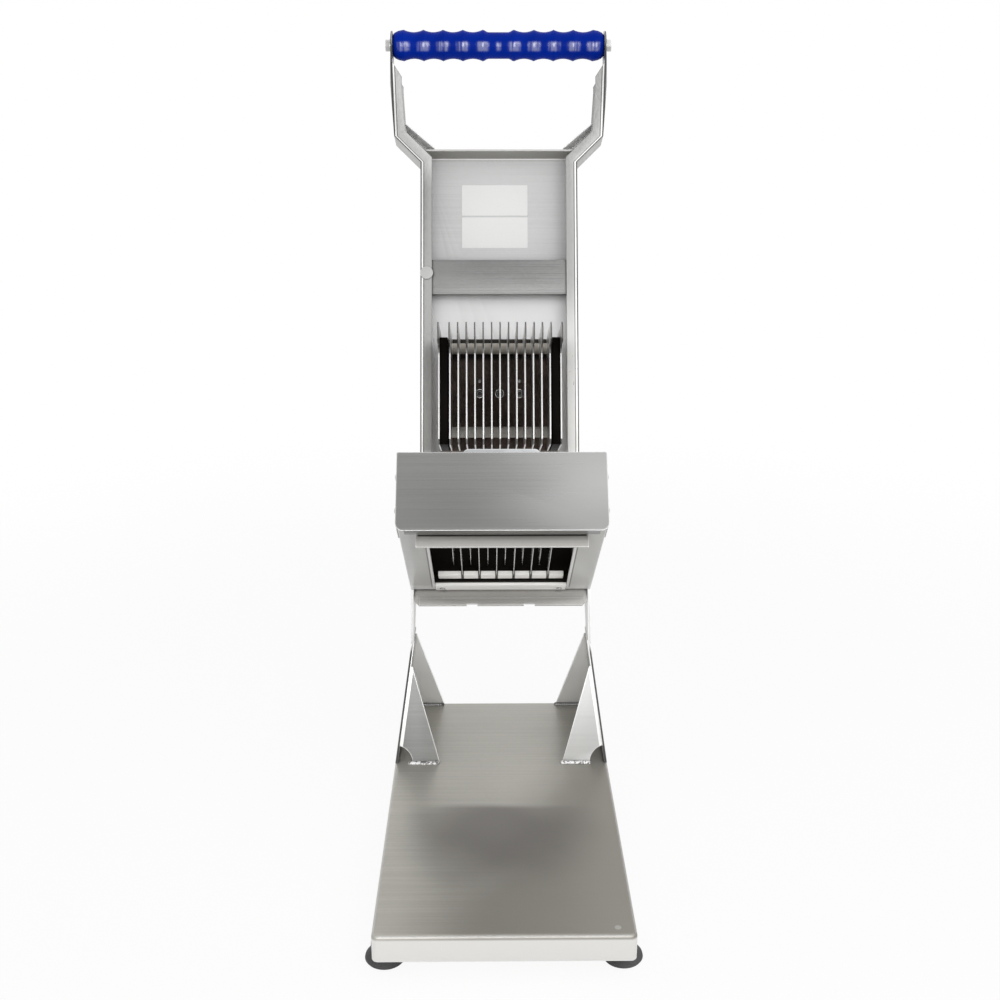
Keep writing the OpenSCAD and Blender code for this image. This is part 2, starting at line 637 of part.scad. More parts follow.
module pusher_end_bars() color("#1c1a19") on_lever() both_sides() translate([end_bar_in, 0, 0])
    side_sheet(end_bar_out - end_bar_in) difference() {
        polygon([
            [fin_front + 3, fin_low], [fin_front + 3, fin_top - 12], [block_front, fin_top - 4], [block_front, fin_low]
        ]);
        for (z = [tie_low_z, tie_high_z]) translate([tie_y, z]) circle(tie_r + hole_gap);
    }
module pusher_tie_rods() color("gainsboro") on_lever() tie_places() {
    cross_cylinder(tie_r, -end_plate_out, end_plate_out);
    both_sides() cross_cylinder(tie_r + 1.5, end_plate_out, end_plate_out + 2);
}
module spacer(from, to) difference() {
    cross_cylinder(spacer_r, from, to);
    cross_cylinder(tie_r + hole_gap, from - 1, to + 1);
}
module pusher_spacers() color("silver") on_lever() tie_places() {
    for (i = [0 : fins - 2]) spacer(i * pitch - outer_fin + fin_t / 2, (i + 1) * pitch - outer_fin - fin_t / 2);
    both_sides() spacer(outer_fin + fin_t / 2, end_bar_in);
}

// Grip: a moulded sleeve with finger grooves on a steel rod
module grip() color("#1230b0") on_lever() translate([-grip_half, 0, grip_z]) rotate([0, 90, 0]) rotate_extrude()
    difference() {
        polygon([
            [grip_rod_r + hole_gap, 0], [grip_r - 6, 0], [grip_r - 1.2, grip_end_slope],
            [grip_r, grip_end_room],
            [grip_r, grip_half - grip_middle / 2], [grip_r - groove_depth, grip_half - grip_middle / 2 + 7],
            [grip_r - groove_depth, grip_half + grip_middle / 2 - 7], [grip_r, grip_half + grip_middle / 2],
            [grip_r, 2 * grip_half - grip_end_room],
            [grip_r - 1.2, 2 * grip_half - grip_end_slope], [grip_r - 6, 2 * grip_half],
            [grip_rod_r + hole_gap, 2 * grip_half]
        ]);
        for (side = [-1, 1], i = [0 : grooves - 1])
            translate([grip_r - groove_depth + groove_r, grip_half + side * (grip_middle / 2 + (i + 0.5) * groove_w)])
                circle(groove_r);
    }
module grip_rod() color("gainsboro") on_lever() translate([0, 0, grip_z]) difference() {
    cross_cylinder(grip_rod_r, -arm_in, arm_in);
    both_sides() cross_cylinder(bolt_r + hole_gap, arm_in - bolt_len, arm_in + 1);
}
module grip_washers() color("gainsboro") on_lever() translate([0, 0, grip_z]) both_sides() difference() {
    cross_cylinder(washer_r, arm_w / 2, arm_w / 2 + washer_t);
    cross_cylinder(bolt_r + hole_gap, arm_w / 2 - 1, arm_w / 2 + washer_t + 1);
}
module grip_bolts() color("gainsboro") on_lever() translate([0, 0, grip_z]) both_sides() {
    cross_cylinder(bolt_r, arm_in - bolt_len + 2, arm_w / 2 + washer_t + 1);
    translate([arm_w / 2 + washer_t, 0, 0]) rotate([0, 90, 0]) hexagon(bolt_head_across, bolt_head_h);
}

base_plate();
rubber_feet();
foot_screws();
side_frame_left();
side_frame_right();
front_cover();
cover_screws();
front_cross_bar();
rear_cross_bar();
window_strip();
strip_screws();
stop_rod();
pivot_shaft();
pivot_nuts();
cartridge_rails();
cartridge_front_bar();
cartridge_back_bar();
cartridge_back_block();
cartridge_pull_tab();
lower_blades();
upper_blades();
cartridge_screws();
lever_arm_left();
lever_arm_right();
lever_panel();
lever_cross_bar();
pivot_bushes();
pusher_block();
pusher_end_bars();
pusher_end_plates();
pusher_fins();
pusher_tie_rods();
pusher_spacers();
pusher_screws();
grip();
grip_rod();
grip_bolts();
grip_washers();
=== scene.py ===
import bpy
import json
import math
from mathutils import Matrix, Vector

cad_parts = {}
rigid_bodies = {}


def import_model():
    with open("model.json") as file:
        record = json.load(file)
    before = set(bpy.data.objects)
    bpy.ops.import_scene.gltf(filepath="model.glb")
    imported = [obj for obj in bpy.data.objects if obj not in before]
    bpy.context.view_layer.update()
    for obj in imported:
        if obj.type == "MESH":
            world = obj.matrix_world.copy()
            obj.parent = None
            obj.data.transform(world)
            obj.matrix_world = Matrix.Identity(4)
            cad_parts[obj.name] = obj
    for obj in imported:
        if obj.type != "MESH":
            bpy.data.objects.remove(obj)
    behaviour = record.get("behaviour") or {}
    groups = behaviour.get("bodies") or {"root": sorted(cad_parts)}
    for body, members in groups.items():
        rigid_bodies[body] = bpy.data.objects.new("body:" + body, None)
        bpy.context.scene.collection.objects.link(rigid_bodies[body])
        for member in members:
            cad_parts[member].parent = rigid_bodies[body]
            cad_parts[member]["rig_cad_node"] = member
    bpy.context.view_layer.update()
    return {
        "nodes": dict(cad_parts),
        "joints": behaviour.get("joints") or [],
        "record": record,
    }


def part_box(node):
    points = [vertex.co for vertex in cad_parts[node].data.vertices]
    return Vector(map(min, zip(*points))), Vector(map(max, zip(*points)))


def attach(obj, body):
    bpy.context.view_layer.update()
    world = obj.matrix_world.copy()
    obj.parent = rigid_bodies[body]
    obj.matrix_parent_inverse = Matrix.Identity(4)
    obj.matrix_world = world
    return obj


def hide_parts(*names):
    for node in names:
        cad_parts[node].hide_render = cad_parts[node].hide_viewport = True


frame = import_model()
bodies = frame["record"]["behaviour"]["bodies"]
bodyOf = {node: body for body, members in bodies.items() for node in members}
pivot = Vector(frame["joints"][0]["pos_m"])
print("frame loaded, pivot at", tuple(round(v, 4) for v in pivot))

leverLean = math.radians(21.5)  # the open lever leans back this far
chuteTilt = math.radians(38.0)  # slope of the chute floor
leverTurn = Matrix.Translation(pivot) @ Matrix.Rotation(-leverLean, 4, "X")  # lever's own axes, from the pivot
leverFront = (0, -math.cos(leverLean), math.sin(leverLean))  # the way the lever's front looks
chuteUnder = (0, -math.sin(chuteTilt), -math.cos(chuteTilt))  # the way the chute's underside looks
chuteStart = (0.018035, 0.229)  # depth and height where places on the chute are measured from


# one wrapped socket, so that shader maths reads as plain sums
class Wire:
    def __init__(self, tree, socket=None):
        self.tree = tree
        self.socket = socket

    def node(self, kind, settings=None, sockets=None, out=0):
        made = self.tree.nodes.new(kind)
        for key, value in (settings or {}).items():
            setattr(made, key, value)
        for key, value in (sockets or {}).items():
            if isinstance(value, Wire):
                self.tree.links.new(value.socket, made.inputs[key])
            else:
                made.inputs[key].default_value = value
        return Wire(self.tree, made.outputs[out])

    def maths(self, operation, first, second):
        return self.node("ShaderNodeMath", {"operation": operation}, {0: first, 1: second})

    def __add__(self, other):
        return self.maths("ADD", self, other)

    def __radd__(self, other):
        return self.maths("ADD", other, self)

    def __sub__(self, other):
        return self.maths("SUBTRACT", self, other)

    def __rsub__(self, other):
        return self.maths("SUBTRACT", other, self)

    def __mul__(self, other):
        return self.maths("MULTIPLY", self, other)


def startMaterial(name):
    material = bpy.data.materials.new(name)
    material.use_nodes = True
    tree = material.node_tree
    finish = next(n for n in tree.nodes if n.type == "BSDF_PRINCIPLED")
    return material, Wire(tree), finish


def feed(finish, wire, values):
    for key, value in values.items():
        if isinstance(value, Wire):
            wire.tree.links.new(value.socket, finish.inputs[key])
        else:
            finish.inputs[key].default_value = value


def mixColour(wire, mask, first, second):
    colours = [value if isinstance(value, Wire) else (*value, 1.0) for value in (first, second)]
    return wire.node("ShaderNodeMix", {"data_type": "RGBA"}, {0: mask, 6: colours[0], 7: colours[1]}, out=2)


# lays a tone over a colour where the mask is, coat is the tone and how much of it covers
def tint(wire, colour, mask, coat):
    tone, amount = coat
    return mixColour(wire, mask * amount, colour, tone)


def bump(wire, height, strength, distance):
    return wire.node("ShaderNodeBump", {}, {"Strength": strength, "Distance": distance, "Height": height})


def noise(wire, vector, scale, detail=3.0, rough=0.5):
    sockets = {"Vector": vector, "Scale": scale, "Detail": detail, "Roughness": rough}
    return wire.node("ShaderNodeTexNoise", {}, sockets)


def objectPlace(wire):
    return wire.node("ShaderNodeTexCoord", out="Object")


def ramp(wire, value, low, high):
    sockets = {"Value": value, "From Min": low, "From Max": high}
    return wire.node("ShaderNodeMapRange", {"interpolation_type": "SMOOTHSTEP"}, sockets)


def slide(wire, value, low, high):
    return wire.node("ShaderNodeMapRange", {}, {"Value": value, "From Min": low, "From Max": high})


def band(wire, value, low, high, soft):
    return ramp(wire, value, low - soft, low) * ramp(wire, value, high + soft, high)


def axisOf(wire, place, axis):
    return wire.node("ShaderNodeSeparateXYZ", {}, {0: place}, out=axis)


def fromMiddle(wire, place):
    return wire.maths("ABSOLUTE", axisOf(wire, place, "X"), 0.0)


# place along a sloped piece: turn is its angle, start the world depth and height of its zero point
def slopePlace(wire, place, turn, start):
    depth = axisOf(wire, place, "Y")
    height = axisOf(wire, place, "Z")
    return (depth - start[0]) * math.sin(turn) + (height - start[1]) * math.cos(turn)


def leverPlace(wire, place):
    return slopePlace(wire, place, leverLean, pivot.yz)


facingRange = (0.35, 0.65)


# how far a face looks along a direction of its own object
def facing(wire, direction):
    normal = wire.node("ShaderNodeTexCoord", out="Normal")
    turned = wire.node("ShaderNodeVectorMath", {"operation": "DOT_PRODUCT"}, {0: normal, 1: direction}, out="Value")
    return ramp(wire, turned, *facingRange)


# brushed steel: dark and light are the two tones of the grain, set part by part as painted light and shade so that each
# part of the one steel shows the brightness it has under the studio light, grain gives marks per metre along each axis,
# metal is how much of the sheet mirrors its surroundings, the rest scatters light as a worn matt surface does,
# edge is the tone of the painted reflection on the outer bends, grime how much painted shade lies in the corners if not
# the usual amount
steelLook = {
    "base": {
        "dark": (0.395, 0.383, 0.346), "light": (0.490, 0.475, 0.433), "edge": 0.85,
        "turn": 0.0, "grain": (5, 420, 420), "rough": 0.40, "metal": 0.60,
    },
    "cover": {
        "dark": (0.230, 0.230, 0.225), "light": (0.260, 0.260, 0.255), "edge": 0.85,
        "turn": 0.0, "grain": (4, 480, 480), "rough": 0.30, "metal": 0.85,
    },
    "ledge": {
        "dark": (0.33, 0.32, 0.30), "light": (0.41, 0.40, 0.38), "edge": 0.85,
        "turn": 0.0, "grain": (4, 480, 480), "rough": 0.42, "metal": 0.40,
    },
    "rearBar": {
        "dark": (0.33, 0.32, 0.30), "light": (0.43, 0.42, 0.40), "edge": 0.70,
        "turn": 0.0, "grain": (4, 480, 480), "rough": 0.42, "metal": 0.40,
    },
    # strip: steel painted near white as painted light; the braces and the fold bead use it too
    "strip": {
        "dark": (0.93, 0.92, 0.89), "light": (0.99, 0.98, 0.95), "edge": 0.95, "grime": 0.12,
        "turn": 0.0, "grain": (4, 480, 480), "rough": 0.40, "metal": 0.0,
    },
    "legs": {
        "dark": (0.34, 0.34, 0.33), "light": (0.44, 0.44, 0.43), "edge": 0.95,
        "turn": 0.0, "grain": (6, 6, 380), "rough": 0.34, "metal": 0.35,
    },
    "lever": {
        "dark": (0.36, 0.36, 0.35), "light": (0.48, 0.48, 0.47), "edge": 0.10,
        "turn": leverLean, "grain": (420, 420, 4), "rough": 0.32, "metal": 0.65,
    },
    "panel": {
        "dark": (0.495, 0.495, 0.495), "light": (0.580, 0.580, 0.580), "edge": 0.80,
        "turn": leverLean, "grain": (4, 420, 420), "rough": 0.58, "metal": 0.28,
    },
    "crossBar": {
        "dark": (0.105, 0.105, 0.103), "light": (0.20, 0.20, 0.196), "edge": 0.60,
        "turn": leverLean, "grain": (4, 480, 480), "rough": 0.36, "metal": 0.65,
    },
    "fins": {
        "dark": (0.36, 0.35, 0.335), "light": (0.50, 0.485, 0.465), "edge": 0.58,
        "turn": leverLean, "grain": (60, 5, 420), "rough": 0.30, "metal": 0.75,
    },
    # spacers: near white as painted light, so they show bright between the fins
    "spacers": {
        "dark": (0.78, 0.73, 0.66), "light": (0.98, 0.94, 0.87), "edge": 0.90, "grime": 0.0,
        "turn": leverLean, "grain": (120, 120, 120), "rough": 0.45, "metal": 0.0,
    },
    "blades": {
        "dark": (0.45, 0.46, 0.47), "light": (0.60, 0.61, 0.62), "edge": 0.80,
        "turn": chuteTilt, "grain": (60, 8, 420), "rough": 0.24, "metal": 0.85,
    },
    "bolts": {
        "dark": (0.46, 0.46, 0.45), "light": (0.60, 0.60, 0.59), "edge": 0.80,
        "turn": 0.0, "grain": (260, 260, 260), "rough": 0.26, "metal": 0.85,
    },
    "darkBolts": {
        "dark": (0.05, 0.048, 0.045), "light": (0.10, 0.097, 0.092), "edge": 0.40,
        "turn": 0.0, "grain": (260, 260, 260), "rough": 0.40, "metal": 0.80,
    },
    "pad": {
        "dark": (0.40, 0.40, 0.39), "light": (0.50, 0.50, 0.49), "edge": 0.50,
        "turn": 0.0, "grain": (300, 300, 300), "rough": 0.50, "metal": 0.30,
    },
    "weld": {
        "dark": (0.60, 0.59, 0.57), "light": (0.99, 0.98, 0.96), "edge": 0.98,
        "turn": 0.0, "grain": (420, 420, 420), "rough": 0.34, "metal": 0.20,
    },
}
# shares tell how much the streaks of the grain, the wiped clouds and the fine specks count
brushLook = {
    "clouds": 6.0, "specks": 300.0, "speckRough": 0.6, "detail": 2.0, "shares": (0.40, 0.50, 0.10),
    "range": (0.34, 0.66), "roughSpread": 0.16, "bump": 0.05, "height": 0.0003, "anisotropy": 0.3,
}
seam = {"reach": 0.005, "range": (0.12, 0.55), "tone": (0.045, 0.042, 0.038), "amount": 0.75}  # painted shade in inner corners
bend = {"reach": 0.0016, "range": (0.12, 0.42), "amount": 0.9}  # painted reflection on outer bends, bright or dark by each look's edge tone
closeSamples = 6


def closeness(wire, reach, inside):
    settings = {"samples": closeSamples, "inside": inside}
    return 1 - wire.node("ShaderNodeAmbientOcclusion", settings, {"Distance": reach}, out="AO")


def brushed(wire, look):
    size = brushLook
    place = objectPlace(wire)
    turned = {"Vector": place, "Rotation": (look["turn"], 0, 0), "Scale": look["grain"]}
    streaks = noise(wire, wire.node("ShaderNodeMapping", {}, turned), 1.0, size["detail"])
    clouds = noise(wire, place, size["clouds"], size["detail"])
    specks = noise(wire, place, size["specks"], size["detail"], size["speckRough"])
    ofStreaks, ofClouds, ofSpecks = size["shares"]
    mask = ramp(wire, streaks * ofStreaks + clouds * ofClouds + specks * ofSpecks, *size["range"])
    colour = mixColour(wire, mask, look["dark"], look["light"])
    rough = look["rough"] + (streaks - 0.5) * size["roughSpread"] + (clouds - 0.5) * size["roughSpread"]
    return place, colour, rough, bump(wire, streaks, size["bump"], size["height"])


# change works under the painted reflection on the bends and the painted shade in the corners, mark on top of them
def steelFinish(name, look, change=None, mark=None):
    material, wire, finish = startMaterial("steel_" + name)
    place, colour, rough, normal = brushed(wire, look)
    if change:
        colour = change(wire, place, colour)
    # painted reflection on the outer bends and painted shade in the inner corners, both found by ambient occlusion
    shineMask = ramp(wire, closeness(wire, bend["reach"], True), *bend["range"])
    grime = ramp(wire, closeness(wire, seam["reach"], False), *seam["range"])
    colour = tint(wire, colour, shineMask, ([look["edge"]] * 3, bend["amount"]))
    colour = tint(wire, colour, grime, (seam["tone"], look.get("grime", seam["amount"])))
    if mark:
        colour = mark(wire, place, colour)
    feed(finish, wire, {
        "Base Color": colour,
        "Metallic": look["metal"],
        "Roughness": rough,
        "Anisotropic": brushLook["anisotropy"],
        "Normal": normal,
    })
    return material


# base plate: the folded skirt painted bright as painted light, a greyer front half and a dark middle patch that ends in
# a straight edge behind, both painted reflection of the dark surroundings, and a small pale spot
baseLightPaint = {
    "middle": (0.0, -0.185), "reach": (0.108, 0.105), "patchRange": (1.15, 0.25), "patchCloud": 0.4,
    "cutRange": (-0.1335, -0.1455), "cutCloud": 0.01, "patch": ((0.160, 0.150, 0.140), 0.85), "cloud": 9.0,
    "lean": 2.0, "frontRange": (-0.10, -0.30), "frontCloud": 0.12, "front": ((0.245, 0.232, 0.205), 0.85),
    "spotAt": (0.1029, -0.3423, 0.045), "spotRange": (0.0035, 0.0025), "spot": ((0.80, 0.79, 0.77), 0.25),
    "fold": (0.0425, 0.0395), "skirt": ((0.80, 0.79, 0.77), 0.9),
}


def paintedLightBase(wire, place, colour):
    size = baseLightPaint
    spread = [1 / reach for reach in size["reach"]]
    shift = [-middle * scale for middle, scale in zip(size["middle"], spread)]
    local = wire.node("ShaderNodeMapping", {}, {"Vector": place, "Location": (*shift, 0), "Scale": (*spread, 0)})
    distance = wire.node("ShaderNodeVectorMath", {"operation": "LENGTH"}, {0: local}, out="Value")
    fromSpot = wire.node("ShaderNodeVectorMath", {"operation": "DISTANCE"}, {0: place, 1: size["spotAt"]}, out="Value")
    cloud = noise(wire, place, size["cloud"], 2.0) - 0.5
    side, depth, height = [axisOf(wire, place, axis) for axis in "XYZ"]
    patch = ramp(wire, distance + cloud * size["patchCloud"], *size["patchRange"])
    patch = patch * ramp(wire, depth + cloud * size["cutCloud"], *size["cutRange"])
    front = ramp(wire, depth - side * size["lean"] + cloud * size["frontCloud"], *size["frontRange"])
    colour = tint(wire, colour, front, size["front"])
    colour = tint(wire, colour, patch, size["patch"])
    colour = tint(wire, colour, ramp(wire, fromSpot, *size["spotRange"]), size["spot"])
    return tint(wire, colour, ramp(wire, height, *size["fold"]), size["skirt"])


# cover: painted light, brighter towards its right end; a little darker towards its lower edge
coverTone = {
    "right": (-0.05, 0.10), "bright": ((0.36, 0.36, 0.355), 1.0),
    "down": (0.415, 0.352), "dull": ((0.140, 0.140, 0.137), 0.55),
}


def paintedLightCover(wire, place, colour):
    colour = tint(wire, colour, ramp(wire, axisOf(wire, place, "X"), *coverTone["right"]), coverTone["bright"])
    return tint(wire, colour, ramp(wire, axisOf(wire, place, "Z"), *coverTone["down"]), coverTone["dull"])


# lever: painted light makes the right channel brighter than the left one below the bend, most of all at its foot, and
# painted shade darkens the left one
leverTone = {
    "upper": (0.40, 0.44), "foot": (0.30, 0.22), "half": 0.05, "bright": ((0.42, 0.42, 0.41), 0.7),
    "shiny": ((0.76, 0.76, 0.75), 0.7), "dull": ((0.225, 0.225, 0.218), 0.7),
}


def paintedLightLever(wire, place, colour):
    along = leverPlace(wire, place)
    side = axisOf(wire, place, "X")
    onRight = ramp(wire, side, 0.0, leverTone["half"])
    onLeft = ramp(wire, side, 0.0, -leverTone["half"])
    low = 1 - ramp(wire, along, *leverTone["upper"])
    colour = tint(wire, colour, low * onRight, leverTone["bright"])
    colour = tint(wire, colour, ramp(wire, along, *leverTone["foot"]) * onRight, leverTone["shiny"])
    return tint(wire, colour, low * onLeft, leverTone["dull"])


# rounded outer edge of the arms: a dark line, a bright one and a fine dark one inside it, painted reflections; half is
# the arm's half width below the bend, above it and at the top
leverLines = {
    "bend": (0.436, 0.468), "top": 0.588, "half": (0.095, 0.127, 0.132), "rim": (-0.001, 0.0013),
    "shine": (0.0017, 0.0032), "inner": (0.0036, 0.0044), "innerShare": 0.8, "soft": 0.0003,
    "dark": ((0.035, 0.034, 0.032), 0.92), "bright": ((0.86, 0.86, 0.85), 0.8),
}


def linedLever(wire, place, colour):
    size = leverLines
    along = leverPlace(wire, place)
    low, high, top = size["half"]
    outer = low + slide(wire, along, *size["bend"]) * (high - low)
    outer = outer + slide(wire, along, size["bend"][1], size["top"]) * (top - high)
    margin = outer - fromMiddle(wire, place)
    rim, shine, inner = [band(wire, margin, *size[line], size["soft"]) for line in ("rim", "shine", "inner")]
    front = facing(wire, leverFront)
    colour = tint(wire, colour, shine * front, size["bright"])
    return tint(wire, colour, wire.maths("MAXIMUM", rim, inner * size["innerShare"]) * front, size["dark"])


# panel: painted light under the cross bar, painted shade on the folded top
panelTone = {
    "under": (0.284, 0.264), "bright": ((0.92, 0.92, 0.92), 1.0),
    "top": (0.4465, 0.4485), "dull": ((0.36, 0.355, 0.33), 1.0),
}


def paintedLightPanel(wire, place, colour):
    along = leverPlace(wire, place)
    under = ramp(wire, along, *panelTone["under"]) * facing(wire, leverFront)
    colour = tint(wire, colour, under, panelTone["bright"])
    return tint(wire, colour, ramp(wire, along, *panelTone["top"]), panelTone["dull"])


# rear bar: painted shade, dark inside the window
barShade = {"range": (0.0088, 0.0094), "stain": ((0.02, 0.018, 0.015), 1.0)}


def paintedShadeBar(wire, place, colour):
    along = slopePlace(wire, place, chuteTilt - math.pi / 2, chuteStart)
    return tint(wire, colour, ramp(wire, along, *barShade["range"]), barShade["stain"])


# ledge: a dark slit under the cover, painted shade
ledgeSlit = {"height": (-0.0046, -0.0039), "ends": (0.0835, 0.0825), "slit": ((0.015, 0.014, 0.012), 0.9)}


def slitLedge(wire, place, colour):
    above = ramp(wire, slopePlace(wire, place, chuteTilt, chuteStart), *ledgeSlit["height"])
    return tint(wire, colour, above * ramp(wire, fromMiddle(wire, place), *ledgeSlit["ends"]), ledgeSlit["slit"])


# fins: painted shade darkens the edges of the lobes before the panel, painted light brightens the inner sides, most at
# the lobes
finTone = {
    "lobe": (0.190, 0.195), "edge": ((0.055, 0.052, 0.048), 0.9), "inner": (0.066, 0.065),
    "side": (0.95, 0.95, 0.94), "sideAmount": 0.5, "lobeAmount": 0.3,
}


def darkLobes(wire, place, colour):
    lobe = ramp(wire, leverPlace(wire, place), *finTone["lobe"])
    sides = facing(wire, (1, 0, 0)) + facing(wire, (-1, 0, 0))
    inner = ramp(wire, fromMiddle(wire, place), *finTone["inner"])
    shine = (lobe * finTone["lobeAmount"] + finTone["sideAmount"]) * sides * inner
    colour = mixColour(wire, shine, colour, finTone["side"])
    return tint(wire, colour, lobe * (1 - sides), finTone["edge"])


# upper end of the pusher: painted shade, duller spacers and a darker block than below
pusherTop = {
    "range": (0.190, 0.198), "spacers": ((0.60, 0.56, 0.49), 0.9), "block": ((0.012, 0.010, 0.009), 0.9),
}


def shadedTopSpacers(wire, place, colour):
    return tint(wire, colour, ramp(wire, leverPlace(wire, place), *pusherTop["range"]), pusherTop["spacers"])


def darkBlock(wire, place, colour):
    return tint(wire, colour, ramp(wire, leverPlace(wire, place), *pusherTop["range"]), pusherTop["block"])


# outer bend of the front leg flanges: a black line, wider at the notch, and a bright stripe inside it, painted
# reflections on the rounded bend with painted shade in the notch; folded sides of the window: a bright stripe and a
# dark line, painted reflections
legLines = {
    "top": 0.170, "topSoft": 0.160, "foot": 0.045, "half": (0.102, 0.120), "behind": (0.02, 0.016),
    "look": (0, -0.93, 0.36), "soft": 0.0005, "rim": (-0.001, 0.0022), "shine": (0.0030, 0.0062),
    "notch": (-0.001, 0.0036), "notchTop": (0.064, 0.062), "chute": (0.232, 0.237),
    "frame": (0.0735, 0.0764), "frameLine": (0.0770, 0.0778),
    "stripe": ((0.99, 0.99, 0.98), 0.95), "line": ((0.02, 0.019, 0.018), 0.9),
    "frameStripe": ((0.99, 0.99, 0.98), 0.8), "frameDark": ((0.02, 0.019, 0.018), 0.7),
}


def linedLegs(wire, place, colour):
    size = legLines
    high, low = size["half"]
    depth, height = axisOf(wire, place, "Y"), axisOf(wire, place, "Z")
    across = fromMiddle(wire, place)
    outer = high + slide(wire, height, size["top"], size["foot"]) * (low - high)
    rim, shine, notch = [band(wire, outer - across, *size[line], size["soft"]) for line in ("rim", "shine", "notch")]
    dark = wire.maths("MAXIMUM", rim, notch * ramp(wire, height, *size["notchTop"]))
    flange = ramp(wire, depth, *size["behind"]) * ramp(wire, height, size["top"], size["topSoft"])
    front = facing(wire, size["look"]) * flange
    under = facing(wire, chuteUnder) * ramp(wire, height, *size["chute"])
    stripe, line = [band(wire, across, *size[part], size["soft"]) for part in ("frame", "frameLine")]
    colour = tint(wire, colour, shine * front, size["stripe"])
    colour = tint(wire, colour, dark * front, size["line"])
    colour = tint(wire, colour, stripe * under, size["frameStripe"])
    return tint(wire, colour, line * under, size["frameDark"])


# legs, painted light and shade: the posts and the rear flanges are brighter than the front flanges, the chute's side
# lips a little, and the right leg brighter than the left one
legTone = {
    "back": (-0.01, 0.05), "post": (0.150, 0.185), "chute": (0.245, 0.235), "half": 0.09,
    "rightCoat": ((0.66, 0.66, 0.65), 0.6), "leftCoat": ((0.180, 0.180, 0.175), 0.6),
    "lipCoat": ((0.72, 0.72, 0.70), 0.7), "postCoat": ((0.78, 0.78, 0.77), 0.9), "backCoat": ((0.99, 0.99, 0.98), 0.95),
}


def paintedLightLegs(wire, place, colour):
    size = legTone
    side, depth, height = [axisOf(wire, place, axis) for axis in "XYZ"]
    back = ramp(wire, depth, *size["back"])
    post = ramp(wire, height, *size["post"])
    below = ramp(wire, height, *size["chute"])
    onRight = ramp(wire, side, 0.0, size["half"])
    onLeft = ramp(wire, side, 0.0, -size["half"])
    outside = facing(wire, (1, 0, 0)) * onRight + facing(wire, (-1, 0, 0)) * onLeft
    seen = 1 - outside  # the outer faces stay plain
    colour = tint(wire, colour, seen * onRight, size["rightCoat"])
    colour = tint(wire, colour, seen * onLeft, size["leftCoat"])
    colour = tint(wire, colour, seen * (1 - below), size["lipCoat"])
    colour = tint(wire, colour, seen * post * below, size["postCoat"])
    return tint(wire, colour, seen * back * (1 - post), size["backCoat"])


# welds: dark specks between the bright drops
weldSpecks = {"scale": 430.0, "detail": 1.0, "range": (0.50, 0.57), "speck": ((0.05, 0.046, 0.04), 0.8)}


def speckWeld(wire, place, colour):
    specks = ramp(wire, noise(wire, place, weldSpecks["scale"], weldSpecks["detail"]), *weldSpecks["range"])
    return tint(wire, colour, specks, weldSpecks["speck"])


plasticLook = {
    "black": {
        "dark": (0.002, 0.0015, 0.001), "light": (0.006, 0.0045, 0.0035), "rough": 0.50, "gloss": 0.03,
        "grain": 900.0, "bump": 0.12,
    },
    "white": {
        "dark": (0.86, 0.85, 0.81), "light": (0.96, 0.95, 0.92), "rough": 0.42, "gloss": 0.40,
        "grain": 500.0, "bump": 0.08,
    },
    "block": {
        "dark": (0.085, 0.058, 0.046), "light": (0.255, 0.185, 0.150), "rough": 0.46, "gloss": 0.20,
        "grain": 260.0, "bump": 0.15,
    },
    "rubber": {
        "dark": (0.042, 0.042, 0.044), "light": (0.085, 0.084, 0.087), "rough": 0.66, "gloss": 0.35,
        "grain": 700.0, "bump": 0.25,
    },
}
plasticLook["slotted"] = dict(plasticLook["white"])
mouldLook = {
    "grainRough": 0.6, "wear": 26.0, "wearRough": 0.55, "shares": (0.7, 0.3), "range": (0.35, 0.68),
    "roughSpread": 0.2, "height": 0.0003,
}

# white bar: painted shade in the slots where the blades enter it, none left of the first blade
slotMarks = {
    "first": -0.0428625, "step": 0.01905, "edge": (0.0018, 0.0014), "left": (-0.051, -0.050),
    "mark": ((0.03, 0.025, 0.02), 0.9),
}


def markSlots(wire, place, colour):
    across = axisOf(wire, place, "X")
    fromSlot = wire.maths("PINGPONG", across - slotMarks["first"], slotMarks["step"] / 2)
    slots = ramp(wire, fromSlot, *slotMarks["edge"]) * ramp(wire, across, *slotMarks["left"])
    return tint(wire, colour, slots, slotMarks["mark"])


def makePlastic(name, change=None):
    look = plasticLook[name]
    material, wire, finish = startMaterial("moulded_" + name)
    place = objectPlace(wire)
    grain = noise(wire, place, look["grain"], rough=mouldLook["grainRough"])
    wear = noise(wire, place, mouldLook["wear"], rough=mouldLook["wearRough"])
    ofWear, ofGrain = mouldLook["shares"]
    mask = ramp(wire, wear * ofWear + grain * ofGrain, *mouldLook["range"])
    colour = mixColour(wire, mask, look["dark"], look["light"])
    if change:
        colour = change(wire, place, colour)
    feed(finish, wire, {
        "Base Color": colour,
        "Roughness": look["rough"] + (wear - 0.5) * mouldLook["roughSpread"],
        "Specular IOR Level": look["gloss"],
        "Normal": bump(wire, grain, look["bump"], mouldLook["height"]),
    })
    return material


# grip: the ridges are rubbed glossy front and back; shine is the glossy coat, zone where round the grip it lies,
# ridge how far along the grip from a ridge's middle, stripes the streaks across it
gripLook = {
    "dark": (0.001, 0.015, 0.23), "light": (0.001, 0.027, 0.39), "rough": 0.30, "gloss": 0.03,
    "flow": 30.0, "pores": 1200.0, "scuffs": 90.0, "scuffDetail": 5.0, "scuffRough": 0.7, "scuffRange": (0.52, 0.75),
    "scuffAmount": 0.12, "shine": 0.95, "axis": 0.82209, "zone": (-0.0052, 0.0020), "soft": 0.0034,
    "first": 0.0195, "step": 0.0242, "ridge": (0.0097, 0.0040), "stripes": (330, 20, 20), "stripeRange": (0.34, 0.60),
    "stripeShares": (0.75, 0.25), "coatIor": 2.7, "coatRough": 0.22, "bumpShares": (0.3, 0.7), "bump": 0.05,
    "height": 0.0004,
}


